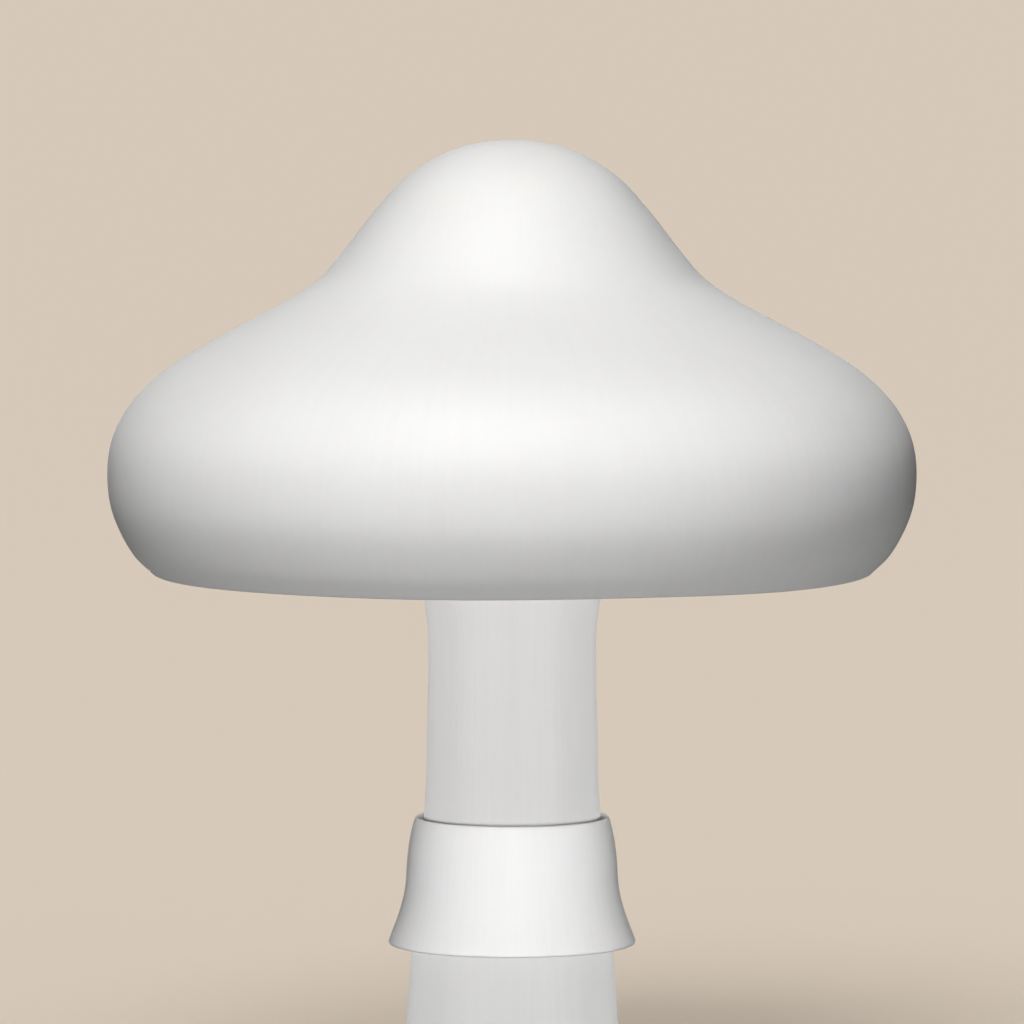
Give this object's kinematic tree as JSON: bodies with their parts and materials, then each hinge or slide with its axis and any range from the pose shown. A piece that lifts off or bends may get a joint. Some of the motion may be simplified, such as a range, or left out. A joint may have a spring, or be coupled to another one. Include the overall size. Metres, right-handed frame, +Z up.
{
  "type": "button mushroom",
  "caption": "Fresh mushroom standing on its trimmed stem: rounded cap with a central hump and turned-in margin, radial gills under it, and a flared ring round the stem.",
  "frame": {"origin": "middle of the stem's flat cut foot, where the mushroom stands", "axes": "+Z up along the stem and through the middle of the cap; -Y is the front that the picture shows, though every side is alike"},
  "size_m": [0.0602, 0.0602, 0.072],
  "materials": {
    "cap_skin": "satin",
    "gill_flesh": "matte",
    "stem_flesh": "matte",
    "ring_veil": "matte"
  },
  "bodies": {
    "root": {"cap": "cap_skin", "gills": "gill_flesh", "stem": "stem_flesh", "ring": "ring_veil"}
  },
  "joints": []
}
